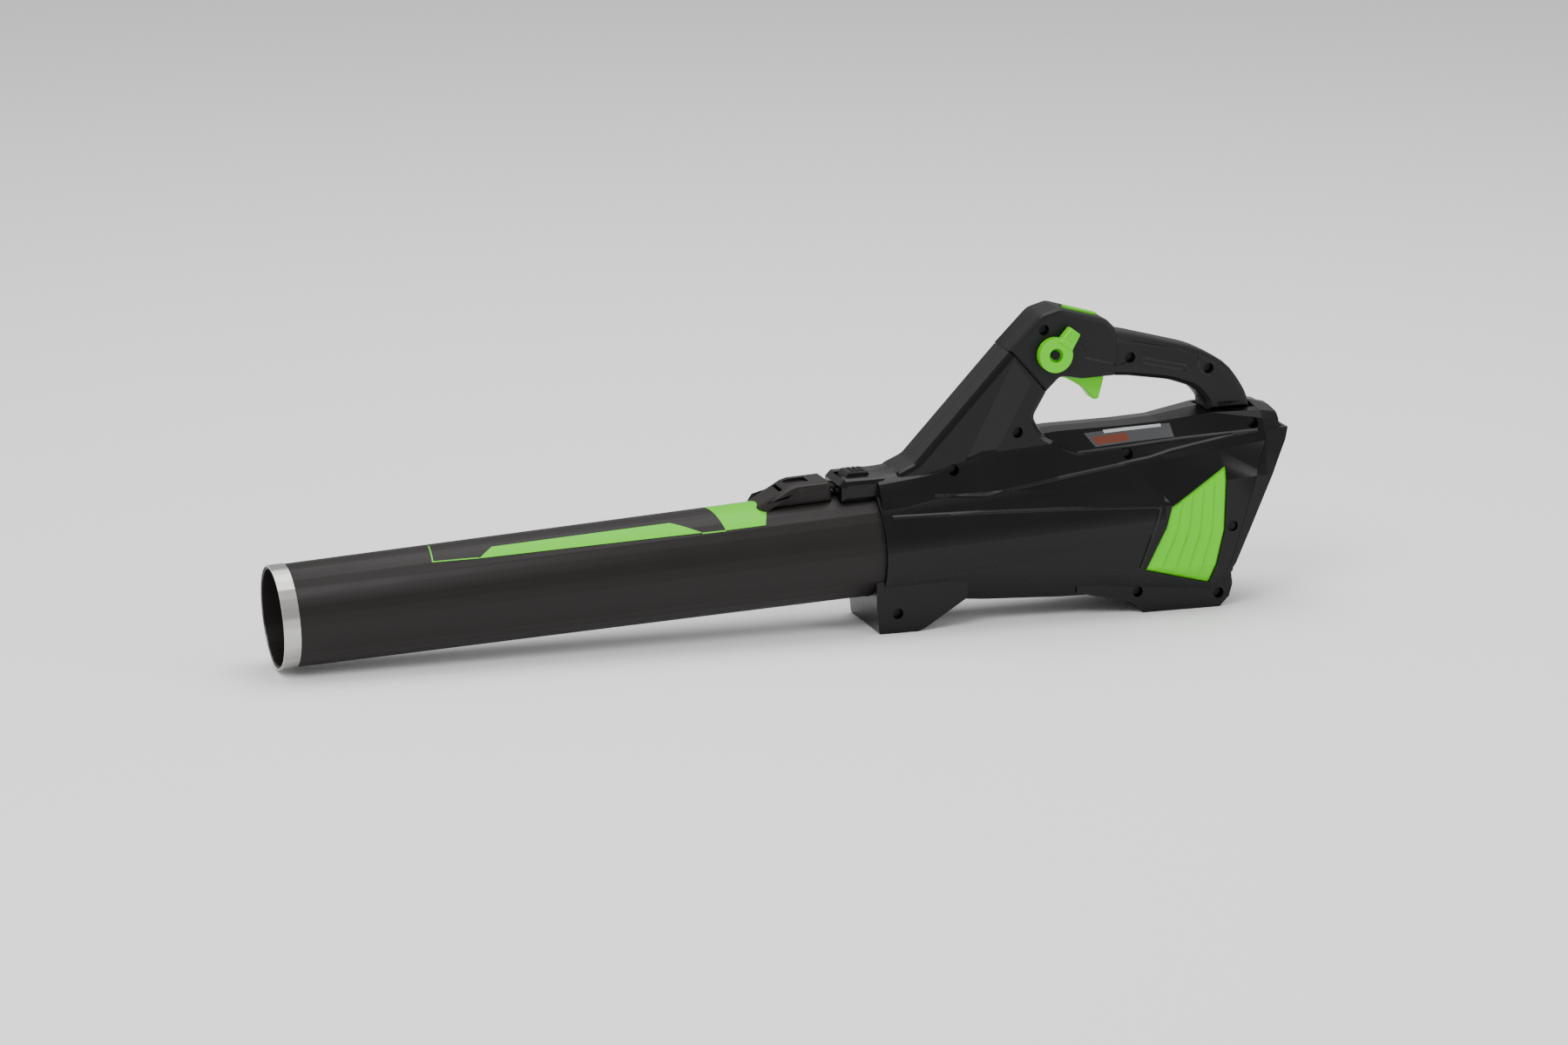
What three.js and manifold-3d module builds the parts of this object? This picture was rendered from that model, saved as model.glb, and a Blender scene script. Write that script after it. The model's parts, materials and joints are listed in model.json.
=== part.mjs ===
// Cordless axial leaf blower, bare tool without its battery.
// Millimetres, +Z up, -X at the nozzle, -Y the tool's left side. The blower stands on its two feet at Z = 0.
import * as THREE from "three";
import { mergeVertices } from "three/addons/utils/BufferGeometryUtils.js";
import Module from "manifold-3d";

const wasm = await Module();
wasm.setup();

// ---------------------------------------------------------------- driving dimensions

const GAP = 0.3; // between pieces that touch
const RUN = 0.6; // around pieces that move
const WALL = 3; // moulded casings
const HALF_GAP = 0.15; // each half of a clamshell stops this far from the middle plane

const RIM_X = 82.336; // centre of the casing's front rim
const RIM_Z = 74.894;
const TILT = THREE.MathUtils.degToRad(2.86); // the airway rises towards the rear
const SEAM_S = 533; // distance from the mouth to the casing's front rim, along the airway
const MOUTH_R = 44.2; // blow tube, outside
const SEAM_R = 48;
const TUBE_WALL = 2.4;
const RING_LENGTH = 14; // metal scraper ring
const RING_PROUD = 0.7;
const TUBE_ENGAGEMENT = 24; // how far the tube reaches into the casing

const BARREL_FRONT_R = SEAM_R + RUN + WALL + 0.4; // casing around the airway
const BARREL_REAR_R = 56;
const BARREL_REAR_S = SEAM_S + 257;
const DUCT_R = SEAM_R - TUBE_WALL - 2.4; // inside of the fan duct
const DUCT_WALL = 2;
const DUCT_END_S = SEAM_S + 205;
const HUB_R = 26;
const HUB_S = [SEAM_S + 71, SEAM_S + 135];
const VANES = 7;
const BLADES = 9;
const FAN_S = [SEAM_S + 147, SEAM_S + 173];
const BLADE_TIP_GAP = 0.9;
const BLADE_PITCH = THREE.MathUtils.degToRad(38);
const MOTOR_R = 21;
const MOTOR_S = [SEAM_S + 77, SEAM_S + 125];
const SHAFT_R = 2.5;
const ISOLATOR = 2.5; // rubber between the motor and its hub, with its gaps

const GRIP_HALF = 19; // half width of the hand grip
const HEAD_HALF = 22; // half width of the trigger housing
const PILLAR_HALF = 24;
const GRIP_ROUND = 9;
const FOOT_HALF = 40;

const REAR_LEAN = THREE.MathUtils.degToRad(23.5); // lean of the battery face
const REAR_TIP = [459, 160]; // x, z of the rear cover's top corner
const SEAM_LEAN = THREE.MathUtils.degToRad(16.9); // lean of the joint between casing and rear cover
const SEAM_TOP = [436, 152];
const REAR_TOP_Z = 160; // the casing's top block lies above this, the rear cover below it
const BAY = { centreZ: 92, halfWidth: 33.5, low: -53, high: 51, depth: 32, wall: 2.5 };

const SCREW = { head: 4.1, headHeight: 2.6, shank: 1.9, bore: 2.3, recess: 4.9, sunk: 8, reach: 11, boss: 7 };

const TRIGGER_PIVOT = [252, 224];
const TRIGGER_HALF = 8;
const PIN_R = 2;
const PIN_SKIN = 1.5; // wall left outside each end of the pin
const LEVER_CENTRE = [243.7, 235.8];
const LEVER_R = 15.4;
const LEVER_THICK = 8;
const LEVER_SHAFT_R = 6;
const TURBO_LEAN = THREE.MathUtils.degToRad(15.5);
const TURBO = { centre: [275, 268.2], length: 33, width: 13, travel: 2.5 };
const LATCH = { half: 10, travel: 2.5 };

// ---------------------------------------------------------------- finishes

const FINISH = {
  gloss_black: { color: 0x1e1d20, roughness: 0.35, metalness: 0 },
  matte_black: { color: 0x37343a, roughness: 0.6, metalness: 0 },
  tube_black: { color: 0x3a3534, roughness: 0.55, metalness: 0 },
  lime: { color: 0x92e200, roughness: 0.4, metalness: 0 },
  inner_plastic: { color: 0x2a2b2d, roughness: 0.7, metalness: 0 },
  steel: { color: 0xb9bab8, roughness: 0.35, metalness: 1 },
  dark_steel: { color: 0x3c3d3f, roughness: 0.4, metalness: 1 },
  brass: { color: 0xc9a24a, roughness: 0.3, metalness: 1 },
  board_green: { color: 0x1f6b3a, roughness: 0.5, metalness: 0 },
  rubber: { color: 0x1a1a1a, roughness: 0.9, metalness: 0 },
  wire_red: { color: 0xb02020, roughness: 0.5, metalness: 0 },
};

// ---------------------------------------------------------------- helpers

const { sin, cos, tan, PI } = Math;

// A closed geometry as a solid.
function solid(geometry) {
  const bare = geometry.clone();
  for (const name of Object.keys(bare.attributes)) if (name !== "position") bare.deleteAttribute(name);
  const merged = mergeVertices(bare, 1e-4);
  const index = merged.index.array;
  const triVerts = [];
  for (let i = 0; i < index.length; i += 3) {
    const [a, b, c] = index.slice(i, i + 3);
    if (a !== b && b !== c && c !== a) triVerts.push(a, b, c); // a lathe's poles leave empty triangles
  }
  const vertProperties = new Float32Array(merged.attributes.position.array);
  return new wasm.Manifold(new wasm.Mesh({ numProp: 3, vertProperties, triVerts: new Uint32Array(triVerts) }));
}

function geometryOf(body) {
  const { numProp, vertProperties, triVerts } = body.getMesh();
  const position = new Float32Array((vertProperties.length / numProp) * 3);
  for (let i = 0; i < position.length / 3; i++) {
    position.set(vertProperties.subarray(i * numProp, i * numProp + 3), i * 3);
  }
  const geometry = new THREE.BufferGeometry();
  geometry.setAttribute("position", new THREE.BufferAttribute(position, 3));
  geometry.setIndex(new THREE.BufferAttribute(new Uint32Array(triVerts), 1));
  geometry.computeVertexNormals();
  return geometry;
}

const moved = (body, matrix) => body.transform(matrix.elements);
const union = (...bodies) => bodies.reduce((all, body) => all.add(body));

function box(x, y, z) {
  const g = new THREE.BoxGeometry(x[1] - x[0], y[1] - y[0], z[1] - z[0]);
  return solid(g.translate((x[0] + x[1]) / 2, (y[0] + y[1]) / 2, (z[0] + z[1]) / 2));
}

// A round bar along +Z from z[0] to z[1] at x, and along +Y from y[0] to y[1] at x, z.
const barZ = (x, r, z) =>
  solid(new THREE.CylinderGeometry(r, r, z[1] - z[0], 12).rotateX(PI / 2).translate(x, 0, (z[0] + z[1]) / 2));

function barY(x, z, r, y, sides = 12) {
  return solid(new THREE.CylinderGeometry(r, r, y[1] - y[0], sides).translate(x, (y[0] + y[1]) / 2, z));
}

// A solid of revolution about +X: profile points are [radius, x].
function turned(profile, sides = 32) {
  const area = profile.reduce((sum, [r, s], i) => {
    const [r2, s2] = profile[(i + 1) % profile.length];
    return sum + r * s2 - r2 * s;
  }, 0);
  const ordered = area > 0 ? profile : [...profile].reverse();
  const points = ordered.map(([r, s]) => new THREE.Vector2(r, s));
  const onAxis = points[0].x === 0 && points[points.length - 1].x === 0;
  if (!onAxis) points.push(points[0].clone());
  return solid(new THREE.LatheGeometry(points, sides).rotateZ(-PI / 2));
}

// A ring or tube about +X with flat ends.
const pipe = (r0, r1, s, sides) => turned([[r0, s[0]], [r1, s[0]], [r1, s[1]], [r0, s[1]]], sides);
const disc = (r, s, sides) => turned([[0, s[0]], [r, s[0]], [r, s[1]], [0, s[1]]], sides);

// An outline in the X-Z plane whose corners [x, z, radius] are rounded with arcs.
function outline(corners, steps = 3) {
  const points = [];
  corners.forEach(([x, z, radius = 0], i) => {
    const here = new THREE.Vector2(x, z);
    const before = new THREE.Vector2(...corners.at(i - 1).slice(0, 2));
    const after = new THREE.Vector2(...corners[(i + 1) % corners.length].slice(0, 2));
    const a = before.sub(here);
    const b = after.sub(here);
    if (radius === 0) return points.push(here);
    const half = Math.acos(a.dot(b) / a.length() / b.length()) / 2;
    const reach = Math.min(radius / tan(half), a.length() * 0.49, b.length() * 0.49);
    const start = here.clone().addScaledVector(a.normalize(), reach);
    const end = here.clone().addScaledVector(b.normalize(), reach);
    const bend = new THREE.QuadraticBezierCurve(start, here, end);
    return points.push(...bend.getPoints(steps));
  });
  return points;
}

// The same outline moved inwards by d, edge by edge. Outlines here run anticlockwise or are turned so.
function inset(points, d) {
  const loop = THREE.ShapeUtils.isClockWise(points) ? [...points].reverse() : points;
  return loop.map((p, i) => {
    const e1 = p.clone().sub(loop.at(i - 1)).normalize();
    const e2 = loop[(i + 1) % loop.length].clone().sub(p).normalize();
    const n = new THREE.Vector2(-e1.y - e2.y, e1.x + e2.x).normalize();
    const lean = Math.max(n.dot(new THREE.Vector2(-e1.y, e1.x)), 0.4);
    return p.clone().addScaledVector(n, d / lean);
  });
}

// Rings of points [x, y, z], each with as many points as the next, joined in turn and closed by two caps.
function stacked(rings, capOutline) {
  const count = rings[0].length;
  const last = (rings.length - 1) * count;
  const index = [];
  for (let r = 0; r + 1 < rings.length; r++) {
    for (let i = 0; i < count; i++) {
      const a = r * count + i;
      const b = r * count + ((i + 1) % count);
      index.push(a, b, b + count, a, b + count, a + count);
    }
  }
  for (const [a, b, c] of THREE.ShapeUtils.triangulateShape(capOutline, [])) {
    index.push(a, c, b, last + a, last + b, last + c);
  }
  const g = new THREE.BufferGeometry();
  g.setAttribute("position", new THREE.Float32BufferAttribute(rings.flat(2), 3));
  g.setIndex(index);
  return solid(g);
}

// A plate of an X-Z outline moved inwards by shrink, from y[0] to y[1], its rims rounded by round in a few steps.
function plate(points, y, round = 0, steps = 3, shrink = 0) {
  const loop = THREE.ShapeUtils.isClockWise(points) ? [...points].reverse() : points;
  const ringAt = (yy, d) => inset(loop, shrink + d).map((p) => [p.x, yy, p.y]);
  const layers = round > 0 ? Array.from({ length: steps + 1 }, (_, i) => (i / steps) * (PI / 2)) : [PI / 2];
  const far = layers.map((t) => ringAt(y[1] - round + round * cos(t), round * (1 - sin(t))));
  const near = [...layers].reverse().map((t) => ringAt(y[0] + round - round * cos(t), round * (1 - sin(t))));
  return stacked([...far, ...near], loop);
}

const sides = (half) => [-half, half];

// Half sections [y, z], from top centre to bottom centre, joined along X and mirrored.
function loft(stations, shrink) {
  const rings = stations.map(([x, ...half]) => {
    const right = half.map(([y, z]) => new THREE.Vector2(y, z));
    const left = right.slice(1, -1).reverse().map((p) => new THREE.Vector2(-p.x, p.y));
    const loop = shrink ? inset([...right, ...left], shrink) : [...right, ...left];
    const turnedRing = THREE.ShapeUtils.isClockWise(loop) ? loop.reverse() : loop;
    return { x, loop: turnedRing };
  });
  rings[0].x += shrink;
  rings.at(-1).x -= shrink;
  return stacked(rings.map(({ x, loop }) => loop.map((p) => [x, p.x, p.y])), rings[0].loop);
}

// A bent lead of radius r through points [x, y, z].
function lead(points, r, steps) {
  const path = new THREE.CatmullRomCurve3(points.map((p) => new THREE.Vector3(...p)));
  const ring = new THREE.EllipseCurve(0, 0, r, r).getPoints(8).slice(0, 8);
  const g = new THREE.ExtrudeGeometry(new THREE.Shape(ring), { steps, extrudePath: path, bevelEnabled: false });
  return solid(g);
}

// A coil spring as a plain closed sleeve with its real outer and inner diameter.
const sleeve = (r0, r1, length) => pipe(r0, r1, [0, length], 10);

// ---------------------------------------------------------------- frames

const blower = new THREE.Group();
const airway = new THREE.Group(); // +X of this group runs along the tube, duct and motor
airway.position.set(RIM_X - SEAM_S * cos(TILT), 0, RIM_Z - SEAM_S * sin(TILT));
airway.rotation.y = -TILT;
airway.updateMatrix();
blower.add(airway);

const rearFace = new THREE.Group(); // +X out of the battery face, +Z up along it
const bayX = REAR_TIP[0] - (REAR_TIP[1] - BAY.centreZ) * tan(REAR_LEAN);
rearFace.position.set(bayX, 0, BAY.centreZ);
rearFace.rotation.y = REAR_LEAN;
rearFace.updateMatrix();
blower.add(rearFace);

const turboSeat = new THREE.Group(); // +Z out of the handle's top face
turboSeat.position.set(TURBO.centre[0], 0, TURBO.centre[1]);
turboSeat.rotation.y = TURBO_LEAN;
turboSeat.updateMatrix();
blower.add(turboSeat);

function node(name, finish, body, parent = blower) {
  const mesh = new THREE.Mesh(geometryOf(body), new THREE.MeshStandardMaterial(FINISH[finish]));
  mesh.name = name;
  parent.add(mesh);
  return body;
}

// A body made in a group's frame, seen in the blower's frame.
const outOf = (group, body) => moved(body, group.matrix);

// ---------------------------------------------------------------- blow tube and its ring

const tubeR = (s) => MOUTH_R + ((SEAM_R - MOUTH_R) * s) / SEAM_S;
const TUBE_END = SEAM_S + TUBE_ENGAGEMENT;
const BOSS_TOP = SEAM_R + 14.5; // height of the tube's latch boss above the airway's axis
const BOSS_S = [SEAM_S - 105, SEAM_S - 37];
const CHANNEL_Z = [SEAM_R + 1.2, SEAM_R + 10.4]; // latch channel inside the boss, above the tube's wall

function latchBoss() {
  const profile = [
    [BOSS_S[0], tubeR(BOSS_S[0]) - 1.5], [BOSS_S[0] + 30, BOSS_TOP - 1.5], [BOSS_S[0] + 36, BOSS_TOP, 3],
    [BOSS_S[1] - 3, BOSS_TOP, 3], [BOSS_S[1], BOSS_TOP - 3], [BOSS_S[1], 44], [BOSS_S[0], 44],
  ];
  return plate(outline(profile), sides(LATCH.half + 10), 6, 2);
}

const windowS = [SEAM_S - 75, SEAM_S - 55];

function blowTube() {
  const skin = turned([
    [MOUTH_R - TUBE_WALL, 0], [MOUTH_R - RING_PROUD, 0], [MOUTH_R - RING_PROUD, RING_LENGTH],
    [tubeR(RING_LENGTH), RING_LENGTH], [SEAM_R, SEAM_S], [SEAM_R, TUBE_END], [SEAM_R - TUBE_WALL, TUBE_END],
  ]);
  const bore = turned([
    [0, -5], [MOUTH_R - TUBE_WALL, -5], [MOUTH_R - TUBE_WALL, 0], [SEAM_R - TUBE_WALL, TUBE_END],
    [SEAM_R - TUBE_WALL, TUBE_END + 5], [0, TUBE_END + 5],
  ]);
  const channel = box([BOSS_S[0] + 22, BOSS_S[1] + 5], sides(LATCH.half + RUN), CHANNEL_Z);
  const slot = box(windowS, sides(LATCH.half - 2), [CHANNEL_Z[1] - 1, BOSS_TOP + 3]);
  return union(skin, latchBoss()).subtract(bore).subtract(channel).subtract(slot);
}

node("blow_tube", "tube_black", blowTube(), airway);
node(
  "scraper_ring",
  "steel",
  turned([
    [MOUTH_R - RING_PROUD + GAP, -0.8], [MOUTH_R + RING_PROUD, -0.8], [MOUTH_R + RING_PROUD, RING_LENGTH - GAP],
    [MOUTH_R - RING_PROUD + GAP, RING_LENGTH - GAP],
  ]),
  airway,
);

// ---------------------------------------------------------------- fan duct, motor and fan

function spokes(count, make) {
  return Array.from({ length: count }, (_, i) =>
    moved(make(), new THREE.Matrix4().makeRotationX((i * 2 * PI) / count)),
  );
}

function fanDuct() {
  const shell = pipe(DUCT_R, DUCT_R + DUCT_WALL, [SEAM_S - 2, DUCT_END_S]);
  const flangeR = BARREL_FRONT_R - WALL - GAP;
  const flange = pipe(DUCT_R + 1, flangeR, [TUBE_END + 4, TUBE_END + 8]);
  const hub = pipe(MOTOR_R + ISOLATOR, HUB_R, HUB_S, 24);
  const vanes = spokes(VANES, () => box([HUB_S[0] + 6, HUB_S[1] - 6], sides(1), [HUB_R - 0.8, DUCT_R + 0.8]));
  const wireVane = box([HUB_S[0] + 18, HUB_S[0] + 30], sides(4), [HUB_R - 0.8, DUCT_R + 0.8]);
  const wireHole = barZ(HUB_S[0] + 24, 2.6, [21, 55]);
  return union(shell, flange, hub, ...vanes, wireVane).subtract(wireHole);
}

node("fan_duct", "inner_plastic", fanDuct(), airway);
node(
  "isolator_ring",
  "rubber",
  pipe(MOTOR_R + GAP, MOTOR_R + ISOLATOR - GAP, [MOTOR_S[0] + 2, MOTOR_S[1] - 2], 20),
  airway,
);
node("motor_can", "dark_steel", pipe(SHAFT_R + 4, MOTOR_R, MOTOR_S, 20), airway);
const bearing = (s) => pipe(SHAFT_R + 0.05, SHAFT_R + 3.7, s, 16);
node("motor_rear_bearing", "steel", bearing([MOTOR_S[1] - 8, MOTOR_S[1] - 3]), airway);
node("motor_front_bearing", "steel", bearing([MOTOR_S[0] + 3, MOTOR_S[0] + 8]), airway);
node("motor_shaft", "steel", disc(SHAFT_R, [MOTOR_S[0] + 1, FAN_S[1] + 9], 16), airway);
node(
  "tail_cone",
  "inner_plastic",
  turned([[0, HUB_S[0] - 46], [9, HUB_S[0] - 40], [20, HUB_S[0] - 20], [HUB_R, HUB_S[0] - GAP],
    [HUB_R - 3, HUB_S[0] - GAP], [17, HUB_S[0] - 20], [0, HUB_S[0] - 38]], 20),
  airway,
);

function impeller() {
  const hub = pipe(SHAFT_R + GAP, HUB_R - 1, FAN_S, 24);
  const tip = DUCT_R - BLADE_TIP_GAP;
  const blade = () => {
    const pitch = new THREE.Matrix4().makeRotationZ(BLADE_PITCH);
    const flat = box([-13, 13], sides(1), [HUB_R - 3, tip - 1.2]);
    pitch.setPosition((FAN_S[0] + FAN_S[1]) / 2, 0, 0);
    return moved(flat, pitch);
  };
  const sweep = pipe(SHAFT_R + 2, tip, [FAN_S[0], FAN_S[1]], 36);
  return union(hub, ...spokes(BLADES, blade)).intersect(sweep.add(hub));
}

node("fan_impeller", "inner_plastic", impeller(), airway);
node(
  "fan_spinner",
  "inner_plastic",
  turned([[SHAFT_R + GAP, FAN_S[1] + GAP], [HUB_R - 1, FAN_S[1] + GAP], [HUB_R - 8, FAN_S[1] + 12],
    [8, FAN_S[1] + 20], [0, FAN_S[1] + 21], [0, FAN_S[1] + 9.4], [SHAFT_R + GAP, FAN_S[1] + 9.4]], 20),
  airway,
);
const BELL_S = [DUCT_END_S + GAP, DUCT_END_S + 22];
node(
  "inlet_bell",
  "inner_plastic",
  turned([
    [DUCT_R, BELL_S[0]], [DUCT_R + 2.4, BELL_S[0]], [DUCT_R + 3.4, BELL_S[0] + 10], [DUCT_R + 7.6, BELL_S[1]],
    [DUCT_R + 5.2, BELL_S[1]], [DUCT_R + 1, BELL_S[0] + 10],
  ], 24),
  airway,
);

// ---------------------------------------------------------------- casing shape

// x, then half-section points [y, z]: top centre, deck top, deck edge, ridge, step, lower flank, belly, bottom.
const CASING = [
  [82, [0, 137], [19, 136.5], [28, 131], [33, 123], [41, 102], [41, 50], [30, 30], [0, 27]],
  [131, [0, 143], [17, 142], [27, 136.5], [34, 119], [43, 100.5], [43, 50], [30, 26], [0, 23]],
  [178, [0, 160], [18, 159], [27, 148], [36, 117], [45, 99.5], [46, 50], [31, 22], [0, 20]],
  [250, [0, 166], [17, 165], [28, 151], [39.3, 126.5], [50, 98], [51, 48], [33, 19], [0, 18]],
  [311, [0, 167], [17, 166], [30, 150], [41.7, 134.5], [54, 97.5], [54, 44], [36, 19], [0, 18]],
  [345, [0, 169], [18, 167.5], [31.5, 152], [43, 139], [55, 100], [55, 42], [38, 19], [0, 18]],
  [392, [0, 176], [26, 174], [34, 159], [44.6, 144.7], [53, 118], [52, 42], [40, 17], [0, 16]],
  [436, [0, 178], [29, 174], [36, 168], [46, 150], [50, 120], [50, 42], [40, 17], [0, 16]],
  [470, [0, 171], [29, 170], [36, 167], [45, 150], [48, 120], [48, 42], [40, 17], [0, 16]],
];
const BLOCK_X = 451; // rear end of the top block

const FRONT_FOOT = [[76, 60], [76.5, 24], [79, 0, 2], [113, 0], [120, 2], [160, 27], [160, 60]];
const REAR_FOOT = [[262, 60], [262, 23], [314, 10], [325, 0], [397, 0, 2], [406, 9, 2], [409, 20], [404, 60]];

// The pillar in front of the hand opening, up to the joint with the handle.
const PILLAR = [[96, 128], [100, 139, 8], [118, 147, 16], [231, 269], [262, 226], [238, 201, 6], [226, 180, 8],
  [236, 164, 14], [262, 149.5], [250, 128]];
const HANDLE_JOINT = [[203.4, 240.6], [238, 201]]; // front and rear end of the joint between pillar and handle

const barrel = (shrink, s0 = SEAM_S) =>
  outOf(airway, turned([[0, s0], [BARREL_FRONT_R - shrink, s0], [BARREL_REAR_R - shrink, BARREL_REAR_S - shrink],
    [0, BARREL_REAR_S - shrink]], 36));

const foot = (corners, shrink) => plate(outline(corners), sides(FOOT_HALF - shrink), 0, 1, shrink);

// Everything on the far side of a leaning plane through [x, z]; the plane leans by angle from upright.
function behind([x, z], angle, offset = 0) {
  const half = box([0, 400], sides(300), sides(400));
  const m = new THREE.Matrix4().makeRotationY(angle).setPosition(x + offset / cos(angle), 0, z);
  return moved(half, m);
}

const joint = new THREE.Vector2(...HANDLE_JOINT[1]).sub(new THREE.Vector2(...HANDLE_JOINT[0]));
const JOINT_LEAN = Math.atan2(-joint.y, joint.x); // the joint's plane dips towards the rear

// Everything above the joint between pillar and handle, moved along its normal by lift.
function aboveJoint(lift) {
  const half = box([-120, 300], sides(100), [0, 200]);
  const [x, z] = HANDLE_JOINT[0];
  const m = new THREE.Matrix4()
    .makeRotationY(JOINT_LEAN)
    .setPosition(x + lift * sin(JOINT_LEAN), 0, z + lift * cos(JOINT_LEAN));
  return moved(half, m);
}

// The casing's outer form, or the space inside it when shrink is the wall.
function casingForm(shrink) {
  const shell = union(
    loft(CASING, shrink),
    barrel(shrink, shrink ? TUBE_END + 2 : SEAM_S),
    plate(outline(PILLAR), sides(PILLAR_HALF - shrink), shrink ? 2 : 5, 2, shrink),
  )
    .subtract(behind(REAR_TIP, REAR_LEAN, -shrink))
    .subtract(box([BLOCK_X - shrink, 520], sides(80), [REAR_TOP_Z, 220]));
  return union(shell, foot(FRONT_FOOT, shrink), foot(REAR_FOOT, shrink));
}

const OUTSIDE = casingForm(0);
const INSIDE = casingForm(WALL);

// Nose over the tube's end that carries the release button.
const NOSE_X = 48;
function nose() {
  const profile = [[NOSE_X, 116], [NOSE_X, 131], [NOSE_X + 5, 136.5, 3], [90, 137], [90, 116]];
  return plate(outline(profile), sides(25), 5, 2);
}

// ---------------------------------------------------------------- screws and their bosses

const CASING_SCREWS = [
  ["pillar_screw_lower", 150.7, 139.2, 27],
  ["pillar_screw_upper", 210.8, 168, 24],
  ["deck_screw", 309.7, 144.5, 36],
  ["rear_top_screw", 426.9, 164.5, 37],
  ["front_foot_screw", 96, 17.5, 40],
  ["rear_foot_screw_front", 319.3, 19.6, 40],
  ["rear_foot_screw_rear", 396, 12.6, 40],
];
const HANDLE_SCREWS = [
  ["head_screw", 235, 257.5, 22],
  ["grip_screw_front", 316.9, 227, 19],
  ["grip_screw_rear", 391, 212.5, 19],
];

// Left and right bosses inside a form, the recess that the screw is sunk in and the screw itself.
function screwSet(list, form) {
  const leftBosses = [];
  const rightBosses = [];
  const cuts = [];
  for (const [name, x, z, skin] of list) {
    const seat = -(skin - SCREW.sunk);
    leftBosses.push(barY(x, z, SCREW.boss, [-skin, -HALF_GAP]).intersect(form));
    rightBosses.push(barY(x, z, SCREW.boss, [HALF_GAP, skin]).intersect(form));
    cuts.push(barY(x, z, SCREW.recess, [-skin - 12, seat]));
    cuts.push(barY(x, z, SCREW.bore, [seat - 1, SCREW.reach + 2], 8));
    const head = barY(x, z, SCREW.head, [seat - GAP - SCREW.headHeight, seat - GAP], 10);
    const shank = barY(x, z, SCREW.shank, [seat - 1, SCREW.reach], 6);
    node(name, "dark_steel", union(head, shank));
  }
  return { left: union(...leftBosses), right: union(...rightBosses), cuts: union(...cuts) };
}

// ---------------------------------------------------------------- latch button

const NOSE_TOP = RIM_Z + SEAM_R + 13.906;
const BUTTON_X = [53, 79];
const BUTTON_STEM = [58, 70];
const TONGUE_Z = [SEAM_R + 5, SEAM_R + 7.8]; // above the airway's axis
const TONGUE_END_S = SEAM_S - 12;

function latchButton() {
  const cap = plate(
    outline([[BUTTON_X[0], NOSE_TOP - 6], [BUTTON_X[0] + 6, NOSE_TOP + 3.2, 2],
      [BUTTON_X[1] - 1, NOSE_TOP + 3.2, 1], [BUTTON_X[1], NOSE_TOP - 6]]),
    sides(LATCH.half), 1.2, 1,
  );
  const ribs = [0, 1, 2].map((i) => {
    const x = BUTTON_X[0] + 11 + i * 4.5;
    return box([x, x + 2], sides(LATCH.half - 3), [NOSE_TOP + 2.5, NOSE_TOP + 4]);
  });
  const stem = box(BUTTON_STEM, sides(LATCH.half - 2), [NOSE_TOP - 6.4, NOSE_TOP - 5.5]);
  return union(cap, stem, ...ribs);
}

node("latch_button", "matte_black", latchButton());

// A springy tongue runs forward from the button, inside the tube's boss, and its tooth fills the boss's window.
function latchCatch() {
  const tongue = box([windowS[0] + 1, TONGUE_END_S], sides(LATCH.half - 1), TONGUE_Z);
  const tooth = box([windowS[0] + RUN, windowS[1] - RUN], sides(LATCH.half - 3), [TONGUE_Z[0], BOSS_TOP - 2.4]);
  return union(tongue, tooth);
}

node("latch_catch", "matte_black", latchCatch(), airway);

// ---------------------------------------------------------------- casing halves

const SCREWS = screwSet(CASING_SCREWS, OUTSIDE);

const REAR_FLOOR_Z = 26; // the rear cover stops here, above the foot
const rearPart = () =>
  behind(SEAM_TOP, SEAM_LEAN).intersect(box([340, 520], sides(90), [REAR_FLOOR_Z + GAP, REAR_TOP_Z - GAP]));

const GRILLE = [[321, 42], [340, 80], [344.5, 98], [397, 131], [396, 73], [385, 24]];
const GRILLE_DEPTH = [1.6, 4.4]; // its front and back, below the casing's outside
const grilleOutline = (shrink) => inset(outline(GRILLE), shrink);

// The post of the handle passes through the deck here.
const POST_END_Z = 172.4;
const POST_SOCKET = [[389, POST_END_Z - GAP], [389, 200], [435, 200], [435, POST_END_Z - GAP]];
const LATCH_SPRING = { x: 75.6, r: [1.8, 2.5], z0: NOSE_TOP - 11.6 };

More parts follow.
